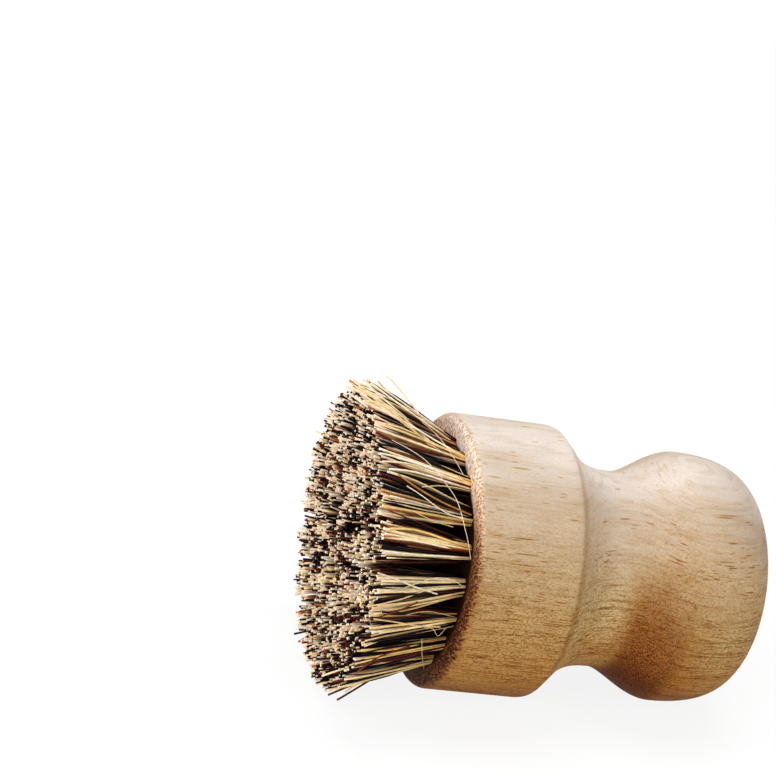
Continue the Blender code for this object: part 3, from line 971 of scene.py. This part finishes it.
def make_fan(brush, material):
    random = np.random.default_rng(SEED + 1)
    places = tuft_places("outer")
    for k, (number, kind, pixel) in enumerate(FANNED_FIBRES, start=1):
        place = places[number - 1]
        end = np.array(fan_end(pixel, place, random.uniform(-FANNED_DEPTH, FANNED_DEPTH)))[None]
        turn = random.uniform(0, 2 * np.pi)
        roots = FANNED_ROOT * np.array([[math.cos(turn), math.sin(turn)]])
        paths = kept_clear(fibre_paths(place, roots, end[:, :2], end[:, 2], random), brush)
        radii = np.full(paths.shape[:2], random.uniform(*FANNED_RADII))
        sides, ends = fibre_colours(np.array([kind]), random, np.zeros(1), end[:, 2])
        name = f"loose_fibre_{k:02d}"
        piece = add_piece(name, tube_mesh(name, paths, radii, sides, ends, material), brush)
        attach(piece, "root")


# ---------------------------------------------------------------- stray hairs

PALE, STRAW = linear(232, 214, 182), linear(226, 190, 132)
ORANGE, BROWN = linear(166, 112, 60), linear(104, 42, 20)
# Each lies on the outside of the tufts, through these pixels of the view: (radius, colour, pixels)
STRAY_HAIRS = {
    "stray_hair_long": (0.065 * MM, PALE, (
        (392, 440), (409, 449), (424, 459), (433, 468), (443, 480), (454, 495),
        (459, 506), (462, 516), (465, 529), (468, 541), (472, 567),
    )),
    "stray_hair_thick": (0.16 * MM, PALE, ((378, 573), (398, 580), (415, 587), (437, 594))),
    "stray_hair_upper": (0.05 * MM, PALE, ((422, 422), (437, 435), (452, 455), (463, 474))),
    "stray_hair_bowed": (0.06 * MM, PALE, ((404, 588), (418, 583), (436, 578), (452, 580), (464, 587))),
    "stray_hair_curl": (0.045 * MM, PALE, ((424, 628), (433, 629), (438, 636), (446, 628))),
    "stray_hair_lower": (0.045 * MM, PALE, ((422, 639), (422, 654), (424, 669))),
    "stray_hair_slant": (0.09 * MM, PALE, ((407, 486), (421, 495), (437, 507), (449, 514), (463, 519))),
    "stray_hair_short": (0.06 * MM, STRAW, ((413, 511), (429, 519), (439, 523), (453, 527))),
    "stray_hair_level": (0.08 * MM, STRAW, ((422, 487), (433, 486), (444, 486), (458, 488), (470, 491))),
    "stray_hair_faint": (0.05 * MM, STRAW, ((406, 615), (420, 612), (433, 612), (455, 617))),
    "crossing_fibre_01": (0.15 * MM, ORANGE, ((398, 474), (413, 485), (429, 495), (446, 504), (471, 515))),
    "crossing_fibre_02": (0.13 * MM, STRAW, ((374, 619), (395, 622), (418, 626), (440, 627))),
    "crossing_fibre_03": (0.13 * MM, BROWN, ((379, 617), (392, 613), (405, 608), (418, 602))),
    "crossing_fibre_04": (0.15 * MM, BROWN, ((357, 672), (368, 664), (379, 657), (410, 646))),
    "crossing_fibre_05": (0.12 * MM, STRAW, ((371, 606), (386, 603), (405, 598), (426, 590))),
}
# Radius of the tufts' outside at the drilled face, and how much it grows along them
ENVELOPE_ROOT, ENVELOPE_RISE = 21.9 * MM, 0.38
# Even steps of a hair, and the cuts between two of its pixels that they are taken from
HAIR_STEPS, HAIR_CUTS = 40, 12


def on_tufts(pixel):
    """The point of the tufts' outside, a cone round the brush's axis, that the camera sees at a pixel."""
    start, way = ray_of(pixel)
    radius = ENVELOPE_ROOT - ENVELOPE_RISE * start.x
    growth = -ENVELOPE_RISE * way.x
    a = way.y**2 + way.z**2 - growth**2
    b = start.y * way.y + start.z * way.z - radius * growth
    c = start.y**2 + start.z**2 - radius**2
    distance = (-b - math.sqrt(max(b * b - a * c, 0.0))) / a
    return start + distance * way


def smooth_path(points, steps):
    """A smooth line through points, cut into even steps of its running length."""
    points = np.array([tuple(point) for point in points])
    padded = np.concatenate([2 * points[:1] - points[1:2], points, 2 * points[-1:] - points[-2:-1]])
    path = []
    for k in range(len(points) - 1):
        p0, p1, p2, p3 = padded[k : k + 4]
        for t in np.arange(HAIR_CUTS) / HAIR_CUTS:
            path.append(
                p1 + 0.5 * t * (p2 - p0 + t * (2 * p0 - 5 * p1 + 4 * p2 - p3 + t * (3 * (p1 - p2) + p3 - p0)))
            )
    path = np.array([*path, points[-1]])
    run = np.concatenate([[0], np.cumsum(np.linalg.norm(np.diff(path, axis=0), axis=1))])
    even = np.linspace(0, run[-1], steps)
    return np.stack([np.interp(even, run, path[:, axis]) for axis in range(3)], axis=1)


def make_hairs(brush, material):
    for name, (radius, colour, pixels) in STRAY_HAIRS.items():
        path = smooth_path([on_tufts(pixel) for pixel in pixels], HAIR_STEPS)[None]
        radii = np.full((1, HAIR_STEPS), radius)
        colours = np.ones((1, HAIR_STEPS, 3)) * np.array(colour)
        mesh = tube_mesh(name, path, radii, colours, colours[:, 0], material)
        piece = add_piece(name, mesh, brush)
        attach(piece, "root")


# ---------------------------------------------------------------- stage

FLOOR_COLOUR = (0.96, 0.96, 0.96)
FLOOR_BOUNCE = (0.55, 0.54, 0.52)
# How much the floor glows near the brush, and the distances over which that rises to its full glow
FLOOR_GLOW_SHARE, FLOOR_GLOW_RUN = 0.86, (0.10, 0.50)
FLOOR_HALF = 4.0
SKY_STRENGTH = 0.20
LAMPS = {
    # direction towards the lamp, power, size
    "key": ((0.04, 0.06, 1.0), 3.8, 0.5),
    "fill": ((-0.74, -0.62, 0.28), 7.2, 0.8),
    "front": ((0.70, -0.64, 0.30), 3.3, 0.6),
    "back": ((-0.66, 0.10, 0.74), 2.6, 0.6),
    "rear": ((0.30, 0.85, 0.35), 2.2, 0.8),
}
LAMP_DISTANCE = 0.9


def background_rays(g):
    """1 for the rays that show the background: straight, mirrored or through glass."""
    rays = g.node("ShaderNodeLightPath").outputs
    value = g.math("MAXIMUM", rays["Is Camera Ray"], rays["Is Glossy Ray"])
    return g.math("MAXIMUM", value, rays["Is Transmission Ray"])


def make_floor(height):
    """A pale floor that shows as an even white to the camera and bounces light softly."""
    g = Graph(bpy.data.materials.new("pale_floor"))
    seen = background_rays(g)
    g.surface(g.mix(seen, FLOOR_BOUNCE, FLOOR_COLOUR), 1.0, 0.0)
    glow = g.node("ShaderNodeEmission", {"Color": (1.0, 1.0, 1.0), "Strength": 1.0})
    place = g.node("ShaderNodeTexCoord").outputs["Object"]
    distance = g.node("ShaderNodeVectorMath", {"Vector": place}, operation="LENGTH").outputs["Value"]
    glow_share = g.span(distance, *FLOOR_GLOW_RUN, FLOOR_GLOW_SHARE, 1.0)
    lit = g.tree.nodes["Principled BSDF"].outputs[0]
    inputs = {0: g.math("MULTIPLY", seen, glow_share), 1: lit, 2: glow.outputs[0]}
    mixed = g.node("ShaderNodeMixShader", inputs)
    g.put(g.tree.nodes["Material Output"].inputs["Surface"], mixed.outputs[0])
    square = [(x * FLOOR_HALF, y * FLOOR_HALF, height) for x, y in ((-1, -1), (1, -1), (1, 1), (-1, 1))]
    mesh = mesh_from("floor", square, [(0, 1, 2, 3)], g.owner)
    add_object("floor", mesh, Matrix.Identity(4))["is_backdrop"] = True


def make_lights():
    world = bpy.data.worlds.new("studio")
    bpy.context.scene.world = world
    g = Graph(world)
    sky = g.tree.nodes["Background"].inputs
    inputs = {"Value": background_rays(g), "To Min": SKY_STRENGTH, "To Max": 1.0}
    g.put(sky["Strength"], g.node("ShaderNodeMapRange", inputs).outputs[0])
    g.put(sky["Color"], (1.0, 1.0, 1.0))

    for name, (direction, power, size) in LAMPS.items():
        lamp = bpy.data.lights.new(name, "AREA")
        lamp.shape, lamp.size, lamp.energy = "DISK", size, power
        way = Vector(direction).normalized()
        turn = way.to_track_quat("Z", "Y").to_matrix().to_4x4()
        add_object(name, lamp, Matrix.Translation(way * LAMP_DISTANCE) @ turn)


def brush_matrix(record):
    """The brush's own frame in the world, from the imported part's mount on the drilled face."""
    mount = {item["name"]: item for item in record["mounts"]}["head_face"]
    away = Vector(mount["axis"])
    pitch = math.atan2(away.z, -away.x)
    ring = HEAD_RADIUS - RIM_CHAMFER - FACE_MARGIN / 2
    turn = Matrix.Rotation(pitch, 4, "Y")
    return Matrix.Translation(Vector(mount["pos_m"]) - turn @ Vector((0, 0, ring))) @ turn


def corners(bounds):
    return [[float(value) for value in corner] for corner in bounds]


def main():
    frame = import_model()
    brush = brush_matrix(frame["record"])
    make_camera(brush)

    handle = make_handle(brush, wood_material(brush))
    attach(handle, "root")
    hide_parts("handle")

    fibre = fibre_material(brush)
    make_tufts(brush, fibre)
    make_fan(brush, fibre)
    make_hairs(brush, fibre)

    make_floor(corners(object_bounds())[0][2])
    make_lights()
    scene = bpy.context.scene
    scene.view_settings.view_transform = "Standard"


main()
